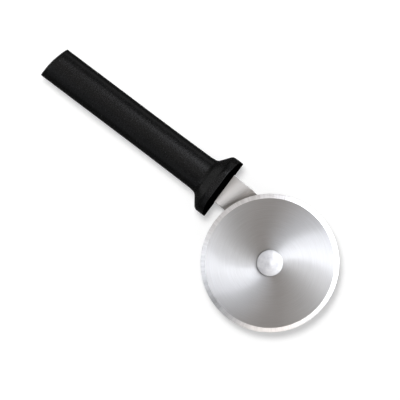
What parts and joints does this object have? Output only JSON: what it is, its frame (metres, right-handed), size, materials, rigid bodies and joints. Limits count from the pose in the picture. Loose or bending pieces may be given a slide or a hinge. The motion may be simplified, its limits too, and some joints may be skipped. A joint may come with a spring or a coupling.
{
  "type": "pastry cutter wheel",
  "caption": "Bevelled steel cutting wheel rolling on a rivet beside a bent steel shank, with a black moulded handle ending in a wide finger-guard flange.",
  "frame": {"origin": "on the table under the middle of the tool's bounding box, with the tool lying flat", "axes": "+Z along the wheel's axle towards the domed rivet head, +X along the handle towards the wheel, +Y to the handle's side of the axle"},
  "size_m": [0.2008, 0.0762, 0.023],
  "materials": {
    "black_resin": "satin moulded black",
    "plate_steel": "brushed across the plate, in line with the bend",
    "blade_steel": "finely turned, with a ground bevel",
    "rivet_steel": "satin, with a soft raised centre",
    "washer_steel": "plain stamped",
    "bush_bronze": "sintered bronze"
  },
  "bodies": {
    "handle_body": {"handle": "black_resin", "shank": "plate_steel", "axle_rivet": "rivet_steel", "front_washer": "washer_steel", "spacer_washer": "washer_steel", "backing_washer": "washer_steel"},
    "wheel_body": {"cutting_wheel": "blade_steel", "wheel_bush": "bush_bronze"}
  },
  "joints": [
    {"name": "wheel_spin", "type": "hinge", "parent": "handle_body", "child": "wheel_body", "pos_m": [0.06227, 0, 0.0115], "axis": [0, 0, 1], "continuous": true}
  ]
}
